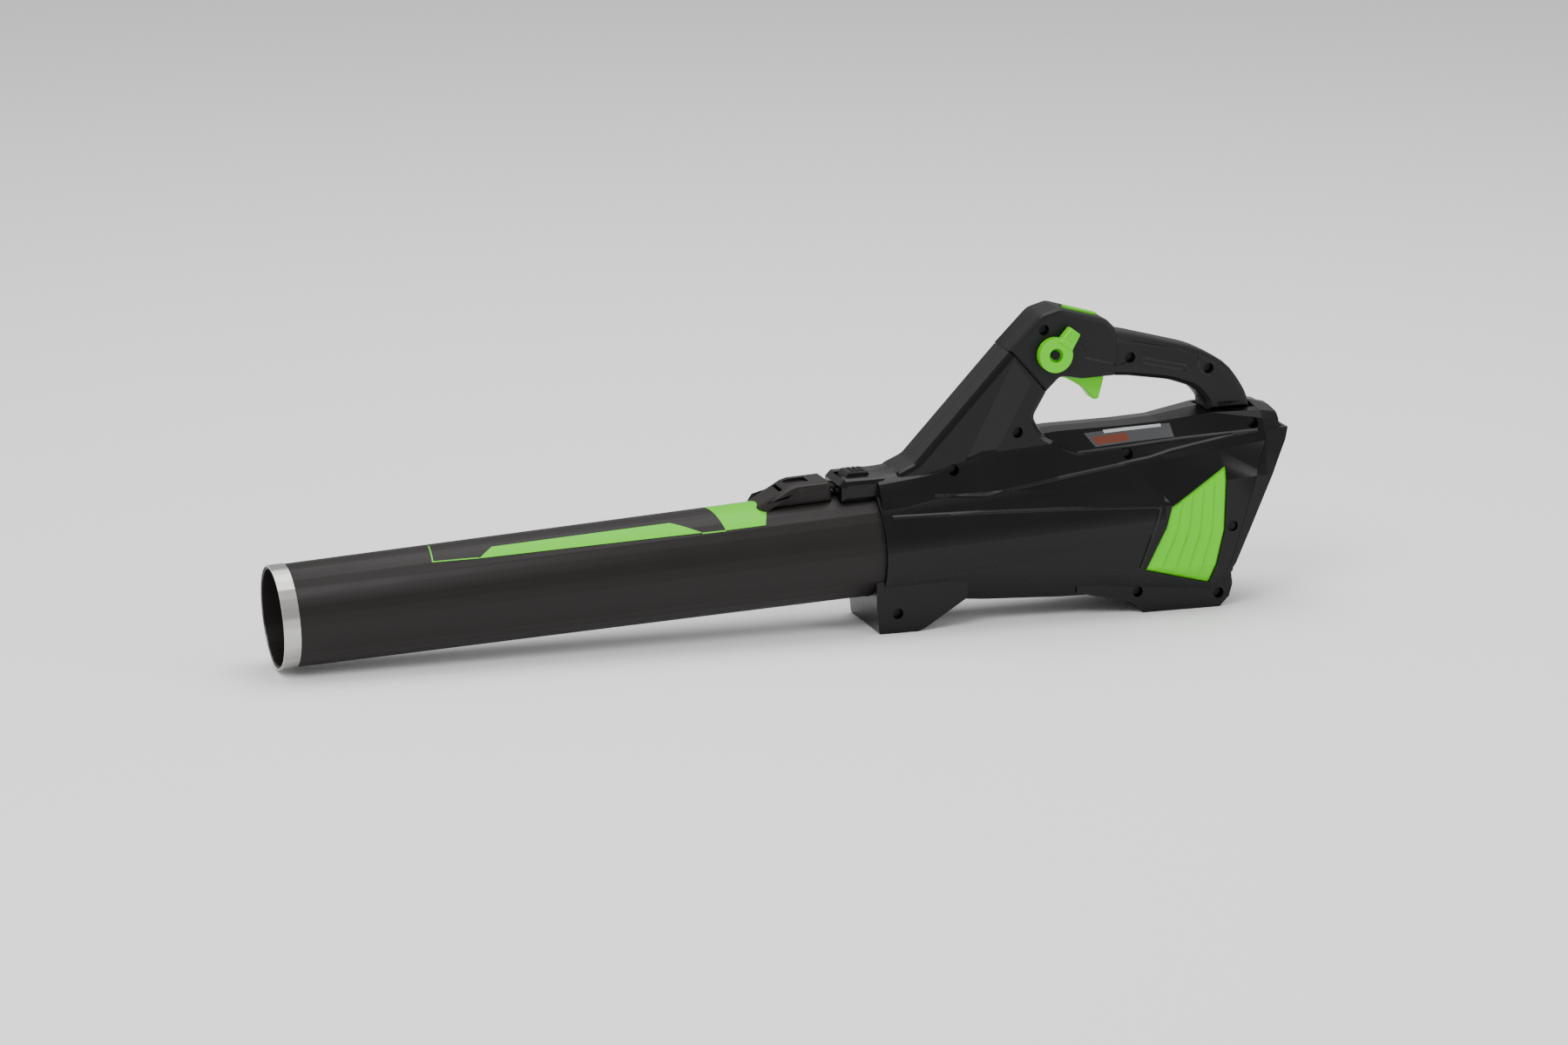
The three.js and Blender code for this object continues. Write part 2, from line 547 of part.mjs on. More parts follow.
function casingShell() {
  const tubeClear = outOf(airway, disc(SEAM_R + RUN, [SEAM_S - 233, TUBE_END + 2.2], 36));
  const bossClear = outOf(airway, box([SEAM_S - 233, BOSS_S[1] + 2], sides(60), [40, 90]));
  const tonguePath = [TONGUE_Z[0] - LATCH.travel - GAP, TONGUE_Z[1] + RUN];
  const tongueClear = outOf(airway, box([BOSS_S[1] - 6, TONGUE_END_S + 1], sides(LATCH.half + RUN), tonguePath));
  const wellFloor = NOSE_TOP - 6 - LATCH.travel - RUN;
  const buttonWell = box([BUTTON_X[0] - RUN, BUTTON_X[1] + RUN], sides(LATCH.half + RUN), [wellFloor, 150]);
  const springWell = barZ(LATCH_SPRING.x, LATCH_SPRING.r[1] + RUN, [LATCH_SPRING.z0 - GAP, 150]);
  const rearSpace = box([340, 520], sides(90), [REAR_FLOOR_Z, REAR_TOP_Z]);
  const rearCut = behind(SEAM_TOP, SEAM_LEAN, -GAP).intersect(rearSpace);
  const floorUnderPost = box([386, 438], sides(GRIP_HALF + 4), [POST_END_Z - 3.4, POST_END_Z - GAP]);
  const postFloor = floorUnderPost.intersect(OUTSIDE);
  const wall = union(OUTSIDE, nose()).subtract(INSIDE).add(postFloor);
  return wall
    .subtract(tubeClear)
    .subtract(bossClear)
    .subtract(tongueClear)
    .subtract(buttonWell)
    .subtract(springWell)
    .subtract(rearCut)
    .subtract(aboveJoint(-GAP).intersect(box([150, 262], sides(60), [188, 330])))
    .subtract(plate(grilleOutline(0), sides(90)))
    .subtract(plate(POST_SOCKET.map(([x, z]) => new THREE.Vector2(x, z)), sides(GRIP_HALF + GAP)));
}

const REAR_SCREW = { x: 403.5, z: 76, skin: 51.5, reach: 14 };
const rearScrewBore = (side) => {
  const y0 = side * (REAR_SCREW.skin - 5);
  const recess = barY(REAR_SCREW.x, REAR_SCREW.z, SCREW.recess, side > 0 ? [y0, 70] : [-70, y0]);
  const bore = barY(REAR_SCREW.x, REAR_SCREW.z, SCREW.bore, side > 0 ? [34, 60] : [-60, -34], 8);
  return union(recess, bore);
};

const SHELL = casingShell();

function casingHalf(side) {
  const keep = box([0, 520], side < 0 ? [-90, -HALF_GAP] : [HALF_GAP, 90], [-5, 300]);
  const bossY = side < 0 ? [-60, -43] : [43, 60];
  const boss = barY(REAR_SCREW.x, REAR_SCREW.z, SCREW.boss, bossY).intersect(OUTSIDE);
  const half = union(SHELL.intersect(keep), side < 0 ? SCREWS.left : SCREWS.right, boss);
  return half.subtract(SCREWS.cuts).subtract(rearScrewBore(side));
}

const largest = (body) => body.decompose().sort((a, b) => b.volume() - a.volume())[0];

node("casing_left", "gloss_black", largest(casingHalf(-1)));
node("casing_right", "gloss_black", largest(casingHalf(1)));

// ---------------------------------------------------------------- intake grilles

function grille(side) {
  const skin = casingForm(GRILLE_DEPTH[0]).subtract(casingForm(GRILLE_DEPTH[1]));
  const area = plate(grilleOutline(GAP), side < 0 ? [-90, -20] : [20, 90]);
  const slits = [1, 2, 3, 4].map((i) => box([333 + i * 12.2, 335 + i * 12.2], sides(90), [0, 200]));
  const kept = [0, 1, 2, 3, 4, 5, 6, 7].map((i) => box([300, 410], sides(90), [28 + i * 14, 33 + i * 14]));
  const cut = union(...slits).subtract(union(...kept)).intersect(plate(grilleOutline(4), sides(90)));
  return skin.intersect(area).subtract(cut);
}

node("intake_grille_left", "lime", largest(grille(-1)));
node("intake_grille_right", "lime", largest(grille(1)));

// ---------------------------------------------------------------- rear cover with its battery bay

function rearCover() {
  const cup = outOf(
    rearFace,
    box([-BAY.depth - BAY.wall, 0], sides(BAY.halfWidth + BAY.wall), [BAY.low - BAY.wall, BAY.high + BAY.wall]),
  );
  const bay = outOf(rearFace, box([-BAY.depth, 20], sides(BAY.halfWidth), [BAY.low, BAY.high]));
  const rim = OUTSIDE.intersect(rearPart()).subtract(INSIDE);
  const rails = [-1, 1].map((side) =>
    outOf(rearFace, box([-BAY.depth, -2], side < 0 ? [-BAY.halfWidth - 1, -BAY.halfWidth + 4] :
      [BAY.halfWidth - 4, BAY.halfWidth + 1], [18, 22])),
  );
  const louvres = [-1, 1].flatMap((side) =>
    [0, 1, 2, 3, 4, 5, 6].map((i) =>
      outOf(rearFace, box([-3, 2.2], side < 0 ? [-46, -38] : [38, 46], [-64 + i * 7.4, -60.4 + i * 7.4])),
    ),
  );
  const bossY = [BAY.halfWidth + 1, 42.5];
  const bosses = [-1, 1].map((side) =>
    barY(REAR_SCREW.x, REAR_SCREW.z, SCREW.boss - 1, side < 0 ? [-bossY[1], -bossY[0]] : bossY),
  );
  const bores = union(rearScrewBore(-1), rearScrewBore(1));
  const body = union(rim, cup.intersect(OUTSIDE), ...louvres, ...bosses).subtract(bay);
  return body.add(union(...rails)).subtract(bores);
}

node("rear_cover", "gloss_black", largest(rearCover()));

for (const [name, side] of [["rear_screw_left", -1], ["rear_screw_right", 1]]) {
  const seat = REAR_SCREW.skin - 5 + GAP;
  const span = (a, b) => (side < 0 ? [-b, -a] : [a, b]);
  const head = barY(REAR_SCREW.x, REAR_SCREW.z, SCREW.head, span(seat, seat + SCREW.headHeight), 10);
  const shank = barY(REAR_SCREW.x, REAR_SCREW.z, SCREW.shank, span(seat - REAR_SCREW.reach + 3, seat + 1), 6);
  node(name, "dark_steel", union(head, shank));
}

// Terminal block on the floor of the bay, with two blade contacts.
const floorX = -BAY.depth + GAP;
node("terminal_block", "inner_plastic", box([floorX, floorX + 8], sides(16), [-8, 8]), rearFace);
for (const [name, y] of [["contact_blade_left", -9], ["contact_blade_right", 9]]) {
  node(name, "brass", box([floorX + 8 + GAP, floorX + 20], [y - 0.6, y + 0.6], [-5, 5]), rearFace);
}

// ---------------------------------------------------------------- handle

const HEAD = [[203.4, 240.6], [233, 270.5, 16], [250, 275.3, 10], [294, 263, 8], [303, 254, 6], [304, 236],
  [303, 212], [272, 211], [252, 214.5, 8], [238, 201]];
const GRIP = [[286, 262], [303, 251], [320, 247.4], [380, 231.5, 100], [412, 215, 70], [430, 187, 45],
  [433.2, POST_END_Z], [390.6, POST_END_Z], [391, 181, 14], [380, 194.5, 30], [356, 203, 60], [318, 209], [286, 211.5]];

function handleForm(shrink) {
  const head = plate(outline(HEAD), sides(HEAD_HALF - shrink), shrink ? 1 : 4, 2, shrink);
  const grip = plate(outline(GRIP), sides(GRIP_HALF - shrink), GRIP_ROUND - shrink, 3, shrink);
  return union(head, grip).intersect(aboveJoint(shrink ? -40 : 0));
}

const HANDLE_OUTSIDE = handleForm(0);
const HANDLE_INSIDE = handleForm(WALL + 0.4);
const HANDLE_BOSSES = screwSet(HANDLE_SCREWS, HANDLE_OUTSIDE);

// A hollow tongue below the joint, held inside the pillar, and the passage through it for the lead.
const TONGUE = { inset: 7, depth: 14, wall: 2.4, half: PILLAR_HALF - WALL - 1.2 };
const jointLength = joint.length();
const jointBox = (margin, half, z) => {
  const m = new THREE.Matrix4().makeRotationY(JOINT_LEAN).setPosition(HANDLE_JOINT[0][0], 0, HANDLE_JOINT[0][1]);
  return moved(box([margin, jointLength - margin], sides(half), z), m);
};
const tongueOuter = jointBox(TONGUE.inset, TONGUE.half, [-TONGUE.depth, 2]);
const passage = jointBox(TONGUE.inset + TONGUE.wall, TONGUE.half - TONGUE.wall, [-TONGUE.depth - 5, 8]);

const leverHole = barY(...LEVER_CENTRE, LEVER_SHAFT_R + RUN, [-HEAD_HALF - 5, 0], 24);
const pinBore = barY(...TRIGGER_PIVOT, PIN_R + GAP, sides(HEAD_HALF - PIN_SKIN), 16);
const triggerSlot = box([241, 306], sides(TRIGGER_HALF + RUN), [190, 222]);
const turboWell = outOf(turboSeat, box(sides(TURBO.length / 2 + RUN), sides(TURBO.width / 2 + RUN), [-9, 20]));

function handleHalf(side) {
  const keep = box([150, 520], side < 0 ? [-60, -HALF_GAP] : [HALF_GAP, 60], [100, 330]);
  const shell = union(HANDLE_OUTSIDE, tongueOuter).subtract(HANDLE_INSIDE).subtract(passage);
  const pinBoss = barY(...TRIGGER_PIVOT, 5, side < 0 ? [-HEAD_HALF + 1, -TRIGGER_HALF - RUN] :
    [TRIGGER_HALF + RUN, HEAD_HALF - 1], 16).intersect(HANDLE_OUTSIDE);
  const half = union(shell.intersect(keep), side < 0 ? HANDLE_BOSSES.left : HANDLE_BOSSES.right, pinBoss);
  const cut = half.subtract(union(HANDLE_BOSSES.cuts, triggerSlot, pinBore, turboWell));
  return largest(side < 0 ? cut.subtract(leverHole) : cut);
}

node("handle_left", "matte_black", handleHalf(-1));
node("handle_right", "matte_black", handleHalf(1));

// ---------------------------------------------------------------- trigger and switch

function trigger() {
  const [px, pz] = TRIGGER_PIVOT;
  const profile = outline([
    [px - 6, pz + 4, 3], [px + 4, pz + 5, 2], [px + 46, pz + 2, 2], [296.5, 206, 3], [292, 189, 2.2],
    [287, 189, 2.2], [278, 200, 6], [262, 209.5, 8], [px - 6, 214, 3],
  ]);
  return plate(profile, sides(TRIGGER_HALF), 1.5, 2).subtract(barY(px, pz, PIN_R + GAP, sides(30), 16));
}

node("trigger", "lime", trigger());
node("trigger_pin", "steel", barY(...TRIGGER_PIVOT, PIN_R, sides(HEAD_HALF - PIN_SKIN - GAP), 16));

const SWITCH = { x: [262, 288], half: 7, z: [235.2, 249.6] };
const PLUNGER_X = 270;
const PLUNGER_TOP = SWITCH.z[0] + 5;
node(
  "switch_body",
  "inner_plastic",
  box(SWITCH.x, sides(SWITCH.half), SWITCH.z).subtract(
    box([PLUNGER_X - 3.4, PLUNGER_X + 3.4], sides(3.4), [SWITCH.z[0] - 1, PLUNGER_TOP + 4.8]),
  ),
);
node("switch_plunger", "lime", box([PLUNGER_X - 3, PLUNGER_X + 3], sides(3), [228.7, PLUNGER_TOP]));
node(
  "trigger_spring",
  "steel",
  sleeveUp(2.2, 3.2, 281, 228, SWITCH.z[0] - GAP),
);

// A spring sleeve standing at x from z0 to z1.
function sleeveUp(r0, r1, x, z0, z1) {
  return moved(sleeve(r0, r1, z1 - z0), new THREE.Matrix4().makeRotationY(-PI / 2).setPosition(x, 0, z0));
}

// ---------------------------------------------------------------- speed lever

function speedLever() {
  const [x, z] = LEVER_CENTRE;
  const face = -HEAD_HALF - GAP - 0.3;
  const hub = barY(x, z, LEVER_R, [face - LEVER_THICK, face], 28);
  const arm = plate(outline([[x + 2, z + 12], [x + 13, z + 24.5, 2], [x + 22, z + 17.5, 2], [x + 14, z + 3]]),
    [face - LEVER_THICK - 1.5, face], 1, 1);
  const well = barY(x, z, 6.4, [face - 20, face - 3.5], 20);
  const shaft = barY(x, z, LEVER_SHAFT_R, [face - 1, -12], 20);
  const bore = barY(x, z, SCREW.bore, [face - 5, 0], 12);
  return union(hub, arm).subtract(well).add(shaft).subtract(bore);
}

node("speed_lever", "lime", speedLever());
{
  const [x, z] = LEVER_CENTRE;
  const seat = -HEAD_HALF - 3.5 - 0.6 - GAP;
  const head = barY(x, z, SCREW.head, [seat - SCREW.headHeight, seat], 16);
  node("lever_screw", "dark_steel", union(head, barY(x, z, SCREW.shank, [seat - 1, -7.5], 10)));
  const cam = barY(x, z, 8, [-11.7, -8.4], 20).subtract(barY(x, z, SCREW.bore, [-20, 0], 12));
  node("lever_cam", "inner_plastic", cam);
}
node("speed_sensor", "inner_plastic", box([LEVER_CENTRE[0] - 9, LEVER_CENTRE[0] + 7], [-5, 5],
  [LEVER_CENTRE[1] - 1, LEVER_CENTRE[1] + 10]));

// ---------------------------------------------------------------- turbo button

function pill(length, width, z) {
  const r = width / 2;
  const shape = new THREE.Shape();
  shape.absarc(length / 2 - r, 0, r, -PI / 2, PI / 2);
  shape.absarc(-length / 2 + r, 0, r, PI / 2, (3 * PI) / 2);
  const g = new THREE.ExtrudeGeometry(shape, { depth: z[1] - z[0], bevelEnabled: false, curveSegments: 6 });
  return solid(g.translate(0, 0, z[0]));
}

const TURBO_TOP = 1.6;
node("turbo_button", "lime", union(pill(TURBO.length, TURBO.width, [-4, TURBO_TOP]),
  box(sides(4), sides(4), [-8, -3])), turboSeat);
const turboTop = -8 - RUN - TURBO.travel;
node("turbo_switch", "inner_plastic", box(sides(8), sides(4), [turboTop - 5, turboTop]), turboSeat);
node("turbo_spring", "steel", moved(sleeve(6.2, 6.8, -4 - GAP - (turboTop + GAP)),
  new THREE.Matrix4().makeRotationY(-PI / 2).setPosition(0, 0, turboTop + GAP)), turboSeat);

// ---------------------------------------------------------------- electronics and leads

const BOARD = { x: [326, 384], half: 24, z: [124, 126.4] };
node("controller_board", "board_green", box(BOARD.x, sides(BOARD.half), BOARD.z));
node("heat_sink", "steel", union(box([332, 372], sides(16), [126.8, 129]), ...[0, 1, 2, 3, 4, 5].map((i) =>
  box([334 + i * 7, 336 + i * 7], sides(16), [128, 140]))));
const motorLeadS = HUB_S[0] + 24;
const aboveMotor = (height) => new THREE.Vector3(motorLeadS, 0, height).applyMatrix4(airway.matrix).toArray();
node("motor_lead", "wire_red", lead([
  [324.4, -8, 125.6], [320.6, -8, 133], [320.2, -8, 146], [310, -8, 156.4], [297, -8, 152], [284, -6, 142],
  [262, -2, 134], [225, 0, 133], [195, 0, 133.5], aboveMotor(54), aboveMotor(47), aboveMotor(36),
  aboveMotor(MOTOR_R + 3.4),
], 1.6, 26));
node("switch_lead", "wire_red", lead([
  [324.4, 13, 125.6], [320.8, 13, 133], [320.6, 13, 147], [311, 12, 157], [290, 11, 158], [262, 10, 158],
  [240, 10, 157.5], [228, 10, 160.5], [221.2, 10, 169], [218.6, 11, 180], [213.6, 12, 190], [214.6, 13, 201],
  [222, 13, 210.5], [233, 14, 220], [243, 14, 234], [252, 12, 243], [260.4, 4, 245],
], 1.5, 34));

// ---------------------------------------------------------------- latch spring

node("latch_spring", "steel",
  sleeveUp(...LATCH_SPRING.r, LATCH_SPRING.x, LATCH_SPRING.z0, NOSE_TOP - 6 - GAP));

// ---------------------------------------------------------------- stand the blower on its feet, centred

const extent = new THREE.Box3().setFromObject(blower);
blower.position.set(-(extent.min.x + extent.max.x) / 2, -(extent.min.y + extent.max.y) / 2, -extent.min.z);

export default blower;
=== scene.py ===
"""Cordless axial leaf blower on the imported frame.

The shells, tube, ring, grilles and controls get soft edges, and lines, films and coil springs are added.
Lengths are in millimetres unless a comment says otherwise, and MM turns them to metres."""
import json
import math

import bmesh
import bpy
import numpy as np
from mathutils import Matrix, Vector
from mathutils.bvhtree import BVHTree


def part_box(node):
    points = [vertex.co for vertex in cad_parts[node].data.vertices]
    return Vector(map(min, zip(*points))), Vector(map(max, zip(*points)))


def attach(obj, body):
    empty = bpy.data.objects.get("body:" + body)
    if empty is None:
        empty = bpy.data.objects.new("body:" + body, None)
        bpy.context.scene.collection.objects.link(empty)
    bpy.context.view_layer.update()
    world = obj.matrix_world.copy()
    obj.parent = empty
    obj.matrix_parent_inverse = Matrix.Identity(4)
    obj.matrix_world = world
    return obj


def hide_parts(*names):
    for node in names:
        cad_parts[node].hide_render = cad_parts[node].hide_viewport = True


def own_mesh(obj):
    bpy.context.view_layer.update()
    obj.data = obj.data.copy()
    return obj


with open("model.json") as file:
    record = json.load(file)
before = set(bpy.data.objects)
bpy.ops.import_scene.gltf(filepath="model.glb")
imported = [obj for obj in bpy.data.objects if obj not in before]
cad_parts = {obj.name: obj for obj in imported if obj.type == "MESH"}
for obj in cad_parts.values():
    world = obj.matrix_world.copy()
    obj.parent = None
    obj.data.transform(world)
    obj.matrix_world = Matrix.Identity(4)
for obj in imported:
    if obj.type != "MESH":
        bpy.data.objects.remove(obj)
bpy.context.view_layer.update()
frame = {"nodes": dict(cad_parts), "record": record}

MM = 0.001

# The airway leans back; s is the distance along it from the mouth, in millimetres.
TILT = math.radians(2.86)
# The mouth leans, so its centre is behind the tube's foremost point.
MOUTH_BEHIND, MOUTH_HEIGHT = 2.1, 48.3
MOUTH = np.array([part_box("blow_tube")[0][0] / MM + MOUTH_BEHIND, 0.0, MOUTH_HEIGHT])
ALONG = np.array([math.cos(TILT), 0.0, math.sin(TILT)])
UPWARD = np.array([-math.sin(TILT), 0.0, math.cos(TILT)])
# The tube's outside radius at the mouth and at the seam, and the seam's distance.
MOUTH_R = 44.2
SEAM_R = 48.0
SEAM_S = 533.0
TUBE_WALL = 2.4
# How much more the ring's outside radius is than the tube's at the mouth.
RING_PROUD = 0.7


# ---------------------------------------------------------------- materials

def linear(hex_colour):
    """An sRGB hex colour as linear RGBA."""
    channels = [int(hex_colour[i:i + 2], 16) / 255 for i in (1, 3, 5)]
    curve = [c / 12.92 if c <= 0.04045 else ((c + 0.055) / 1.055) ** 2.4 for c in channels]
    return (*curve, 1.0)


def add(tree, kind, links=(), **settings):
    """A node of that kind with its sockets set by name, and links as (socket, other node, output)."""
    node = tree.nodes.new(kind)
    for name, value in settings.items():
        if hasattr(node, name):
            setattr(node, name, value)
        else:
            node.inputs[name.replace("_", " ")].default_value = value
    for socket, other, output in links:
        tree.links.new(other.outputs[output], node.inputs[socket])
    return node


# Size of the slow changes across a piece, and how far roughness goes up and down with them.
CLOUD_SIZE = 45.0
ROUGHNESS_SWING = 0.06


def surface(name, colour, worn, roughness, grain_mm, relief_mm,
            metallic=0.0, stretch=(1, 1, 1), gloss=0.5):
    """A material with grain as bump, and slow changes of colour and roughness across the piece."""
    made = bpy.data.materials.new(name)
    made.use_nodes = True
    tree = made.node_tree
    shader = tree.nodes["Principled BSDF"]
    shader.inputs["Metallic"].default_value = metallic
    shader.inputs["Specular IOR Level"].default_value = gloss
    place = add(tree, "ShaderNodeTexCoord")
    grid = add(tree, "ShaderNodeMapping", [("Vector", place, "Object")], Scale=stretch)
    grain = add(tree, "ShaderNodeTexNoise", [("Vector", grid, "Vector")],
                Scale=1 / (grain_mm * MM), Detail=3.0)
    cloud = add(tree, "ShaderNodeTexNoise", [("Vector", place, "Object")],
                Scale=1 / (CLOUD_SIZE * MM), Detail=4.0)
    tint = add(tree, "ShaderNodeMix", [("Factor", cloud, "Fac")], data_type="RGBA")
    tint.inputs["A"].default_value = linear(colour)
    tint.inputs["B"].default_value = linear(worn)
    tree.links.new(tint.outputs["Result"], shader.inputs["Base Color"])
    spread = add(tree, "ShaderNodeMapRange", [("Value", cloud, "Fac")])
    spread.inputs["To Min"].default_value = roughness - ROUGHNESS_SWING
    spread.inputs["To Max"].default_value = roughness + ROUGHNESS_SWING
    tree.links.new(spread.outputs["Result"], shader.inputs["Roughness"])
    bump = add(tree, "ShaderNodeBump", [("Height", grain, "Fac")],
               Distance=relief_mm * MM, Strength=0.6)
    tree.links.new(bump.outputs["Normal"], shader.inputs["Normal"])
    return made


FINISHES = {
    # Moulded ABS: a black shell with a soft sheen and long bright edges.
    "casing_gloss": surface(
        "Moulded_ABS_black", "#08080a", "#0b0b0d", 0.27, 0.9, 0.012, gloss=0.24),
    # Spark-textured polypropylene: charcoal with a fine sparkle.
    "handle_matte": surface(
        "Spark_textured_PP", "#111013", "#151417", 0.46, 0.7, 0.08, gloss=0.24),
    # Blow-moulded polyethylene: dull brown-black, slightly scuffed.
    "tube_matte": surface("Blow_moulded_PE", "#171413", "#1c1817", 0.44, 1.1, 0.03, gloss=0.24),
    # Moulded ABS in lime: saturated, with an even gloss.
    "green_plastic": surface(
        "Moulded_ABS_lime", "#58cc00", "#5ed400", 0.38, 0.8, 0.012, gloss=0.22),
    # Glass-filled nylon: dark grey and dry.
    "inner_plastic": surface("Glass_filled_nylon", "#26272a", "#303134", 0.62, 0.8, 0.04),
    # Rolled stainless strip: bright, scratched round the rim.
    "bright_steel": surface(
        "Rolled_stainless", "#c9c8c4", "#a9a8a4", 0.30, 1.4, 0.05, 1.0, (4, 1, 1)),
    # Ground spring steel: plain bright metal.
    "spring_steel": surface("Ground_spring_steel", "#b9bab8", "#a5a6a6", 0.32, 0.8, 0.01, 1.0),
    # Black-oxide screw steel: nearly black with a dull glint.
    "screw_steel": surface("Black_oxide_steel", "#1c1c1e", "#2a2a2c", 0.38, 0.6, 0.02, 1.0),
    # Rolled motor steel: mid-grey metal.
    "motor_steel": surface("Rolled_motor_steel", "#77787a", "#68696b", 0.40, 0.9, 0.02, 1.0),
    # Extruded aluminium: pale, drawn along its length.
    "aluminium": surface(
        "Extruded_aluminium", "#bfc0c2", "#adaeb0", 0.36, 0.9, 0.02, 1.0, (1, 6, 6)),
    # Stamped brass: warm yellow metal.
    "contact_brass": surface("Stamped_brass", "#c9a24a", "#b08c3c", 0.30, 0.7, 0.01, 1.0),
    # Solder mask on glass epoxy: deep green.
    "circuit_board": surface("Solder_mask_green", "#1f6b3a", "#1a5c32", 0.42, 0.7, 0.02),
    # Moulded rubber: black and dull.
    "rubber": surface("Moulded_rubber", "#171717", "#1f1f1f", 0.78, 0.8, 0.04),
    # Soft PVC sleeve: red with a low sheen.
    "wire_sleeve": surface("PVC_sleeve_red", "#a81c1c", "#941717", 0.42, 0.8, 0.01),
}
# Printed vinyl in grey: a flat label, a little lighter than the shell round it.
LABEL = surface("Printed_vinyl_grey", "#3a3b3d", "#47484a", 0.45, 0.9, 0.01, gloss=0.3)
# The same vinyl in pale grey: a light strip, as dull as the label.
PALE_PRINT = surface("Printed_vinyl_pale", "#a9aaac", "#b4b5b7", 0.45, 0.9, 0.01, gloss=0.3)
# The same vinyl in rust: a dark warm patch.
RUST_PRINT = surface("Printed_vinyl_rust", "#5e2c1c", "#6b3524", 0.45, 0.9, 0.01, gloss=0.3)
# Gloss black ink: darker and sharper in its reflections than the plastic under it. On the pillar panel
# it is print; on the grip the same ink is painted shade, in dark lines where the grip's grooves are.
BLACK_PRINT_AND_GROOVE_SHADE = surface("Gloss_print_black_and_groove_shade", "#060607", "#09090a", 0.22, 0.9, 0.005, gloss=0.3)

SLOT_OF = {entry["node"]: entry["material_slot"] for entry in frame["record"]["subparts"]}
BODY_OF = {node: body for body, nodes in frame["record"]["behaviour"]["bodies"].items()
           for node in nodes}


# ---------------------------------------------------------------- meshes

# A new piece's edges are sharp above this turn, in degrees.
SHARP_TURN = 35
# Points this near are one point, and flats that turn less than this, in degrees, are one flat.
WELD_WITHIN = 0.002
FLAT_TURN = 0.4
# The CAD draws a round about the airway with this many flats. Each pass halves them.
CAD_FLATS, PASSES = 36, 2
# A point this near to the depth of a flat's middle is taken to be one.
DEPTH_MATCH = 0.04


def finished(obj, slot_name, body, material=None):
    """Gives a piece its material and slot, and lets it ride on its body."""
    obj.data.materials.clear()
    obj.data.materials.append(material or FINISHES[slot_name])
    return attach(obj, body)


def piece(name, points_mm, faces, slot_name, body, material=None):
    """A new smooth-shaded piece from points in millimetres and faces."""
    mesh = bpy.data.meshes.new(name)
    mesh.from_pydata((np.asarray(points_mm) * MM).tolist(), [], np.asarray(faces).tolist())
    mesh.shade_smooth()
    mesh.set_sharp_from_angle(angle=math.radians(SHARP_TURN))
    obj = bpy.data.objects.new(name, mesh)
    bpy.context.scene.collection.objects.link(obj)
    return finished(obj, slot_name, body, material)


def grid_faces(rows, columns, closed=False):
    """Quads of a grid of points; a closed grid also joins its last column to its first."""
    i, j = np.arange(rows - 1), np.arange(columns if closed else columns - 1)
    i, j = [a.ravel() for a in np.meshgrid(i, j, indexing="ij")]
    k, m = i + 1, (j + 1) % columns
    return np.stack([i * columns + j, i * columns + m, k * columns + m, k * columns + j], 1)


def on_airway(s, radius, angle):
    """Points at distance s, that radius and angle up from the left side, round the airway."""
    s, radius, angle = np.broadcast_arrays(s, radius, angle)
    return (MOUTH + s[..., None] * ALONG
            - (radius * np.cos(angle))[..., None] * np.array([0.0, 1.0, 0.0])
            + (radius * np.sin(angle))[..., None] * UPWARD)


def made_round(mesh):
    """Splits each flat round the airway at its middle and lifts the new points to the full radius.

    A flat between two points at radius r sinks to r cos(half its angle) in the middle, so a point at
    that depth below one of cone_radii is such a middle, and is scaled back to r."""
    axis = Vector(ALONG)
    start = Vector(MOUTH * MM)
    for done in range(PASSES):
        flats = CAD_FLATS * 2 ** done
        step = 2 * math.pi / flats
        work = bmesh.new()
        work.from_mesh(mesh)
        for k in range(flats // 2):
            angle = (k + 0.5) * step
            across = Vector((0, -math.sin(angle), 0)) + Vector(UPWARD) * math.cos(angle)
            bmesh.ops.bisect_plane(work, geom=work.verts[:] + work.edges[:] + work.faces[:],
                                   dist=1e-7, plane_co=start, plane_no=across)
        work.verts.index_update()
        for vert in work.verts:
            away = vert.co - start
            s = away.dot(axis)
            out = away - axis * s
            for radius in cone_radii(s / MM):
                if abs(out.length / MM - radius * math.cos(step / 2)) < DEPTH_MATCH:
                    vert.co = start + axis * s + out / math.cos(step / 2)
                    break
        work.to_mesh(mesh)
        work.free()


def cone_radii(s):
    """The tube's outside, its bore and the ring's outside at s."""
    outside = tube_radius(min(s, SEAM_S))
    return (outside, outside - TUBE_WALL, MOUTH_R + RING_PROUD)


def tube_radius(s):
    """The tube's outside at s, which grows evenly from mouth to seam."""
    return MOUTH_R + (SEAM_R - MOUTH_R) * s / SEAM_S


def soft_edged(node, width_mm, crease=30):
    """Stands in for a CAD node with a merged copy whose edges over crease degrees get a small round."""
    source = frame["nodes"][node]
    mesh = source.data.copy()
    mesh.name = node + "_soft"
    obj = bpy.data.objects.new(node + "_soft", mesh)
    bpy.context.scene.collection.objects.link(obj)
    weld(mesh)
    if node in ON_AIRWAY:
        made_round(mesh)
    mesh.shade_smooth()
    mesh.set_sharp_from_angle(angle=math.radians(crease))
    bevel = obj.modifiers.new("edge round", "BEVEL")
    bevel.width = width_mm * MM
    bevel.segments = 2
    bevel.limit_method = "ANGLE"
    bevel.angle_limit = math.radians(crease)
    bevel.use_clamp_overlap = True
    bevel.harden_normals = True
    finished(obj, SLOT_OF[node], BODY_OF[node])
    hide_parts(node)


def weld(mesh):
    """Joins points of a mesh that lie in one place, and triangles that lie in one flat."""
    work = bmesh.new()
    work.from_mesh(mesh)
    bmesh.ops.remove_doubles(work, verts=work.verts, dist=WELD_WITHIN * MM)
    bmesh.ops.dissolve_limit(work, angle_limit=math.radians(FLAT_TURN),
                             verts=work.verts, edges=work.edges)
    work.to_mesh(mesh)
    work.free()


# ---------------------------------------------------------------- the frame's own nodes

